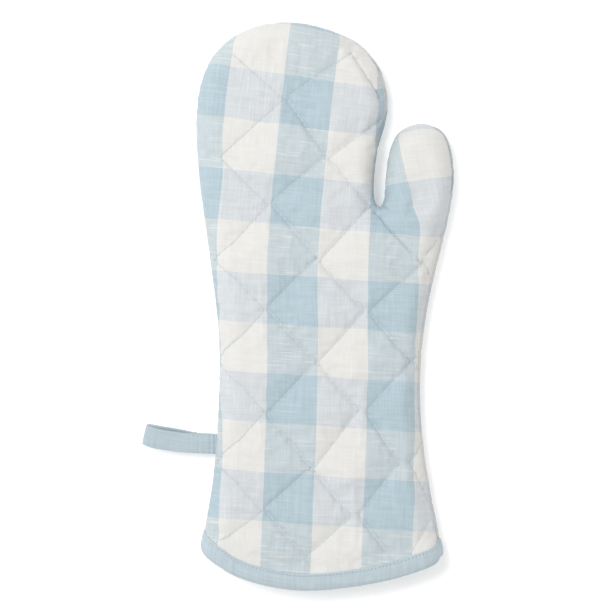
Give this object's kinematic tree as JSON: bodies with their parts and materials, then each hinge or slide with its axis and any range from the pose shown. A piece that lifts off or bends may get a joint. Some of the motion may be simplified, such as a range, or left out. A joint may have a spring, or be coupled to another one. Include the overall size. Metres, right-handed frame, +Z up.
{
  "type": "oven mitt",
  "caption": "Quilted oven mitt lying flat: curved bound cuff, thumb at one side, and a strap hanging loop sewn in the side seam.",
  "frame": {"origin": "middle of the bounding box, on the surface that the mitt lies on", "axes": "+X towards the thumb side, +Y from the cuff to the fingertips, +Z up out of the front"},
  "size_m": [0.181, 0.33, 0.026],
  "materials": {
    "face_cloth": "slubby plain weave, wide blue and off-white checks",
    "batting": "soft cotton wadding",
    "lining_cloth": "plain off-white cotton",
    "binding_cloth": "plain light blue bias binding",
    "loop_strap": "plain light blue folded strap",
    "thread": "pale blue-grey sewing thread"
  },
  "bodies": {
    "hand": {"front_face": "face_cloth", "front_batting": "batting", "front_lining": "lining_cloth", "front_quilting_outer_side": "thread", "front_quilting_middle": "thread", "front_quilting_thumb_side": "thread", "front_quilting_thumb_base": "thread", "back_face": "face_cloth", "back_batting": "batting", "back_lining": "lining_cloth", "back_quilting_outer_side": "thread", "back_quilting_middle": "thread", "back_quilting_thumb_side": "thread", "back_quilting_thumb_base": "thread", "seam_thread_fingers": "thread", "seam_thread_wrist": "thread", "cuff_binding": "binding_cloth", "binding_stitching": "thread", "hanging_loop_tail": "loop_strap"},
    "thumb": {"thumb_front_face": "face_cloth", "thumb_front_batting": "batting", "thumb_front_lining": "lining_cloth", "thumb_back_face": "face_cloth", "thumb_back_batting": "batting", "thumb_back_lining": "lining_cloth", "seam_thread_thumb": "thread"},
    "loop": {"hanging_loop": "loop_strap"}
  },
  "joints": [
    {"name": "thumb_fold", "type": "hinge", "parent": "hand", "child": "thumb", "pos_m": [0.04697, 0.05867, 0.026], "axis": [0.5649, -0.8252, 0], "range_deg": [0, 75], "stiffness_Nm_per_rad": 0.01},
    {"name": "loop_swing", "type": "hinge", "parent": "hand", "child": "loop", "pos_m": [-0.05053, -0.08093, 0.011], "axis": [0, 1, 0], "range_deg": [-8, 90], "stiffness_Nm_per_rad": 0.002}
  ]
}
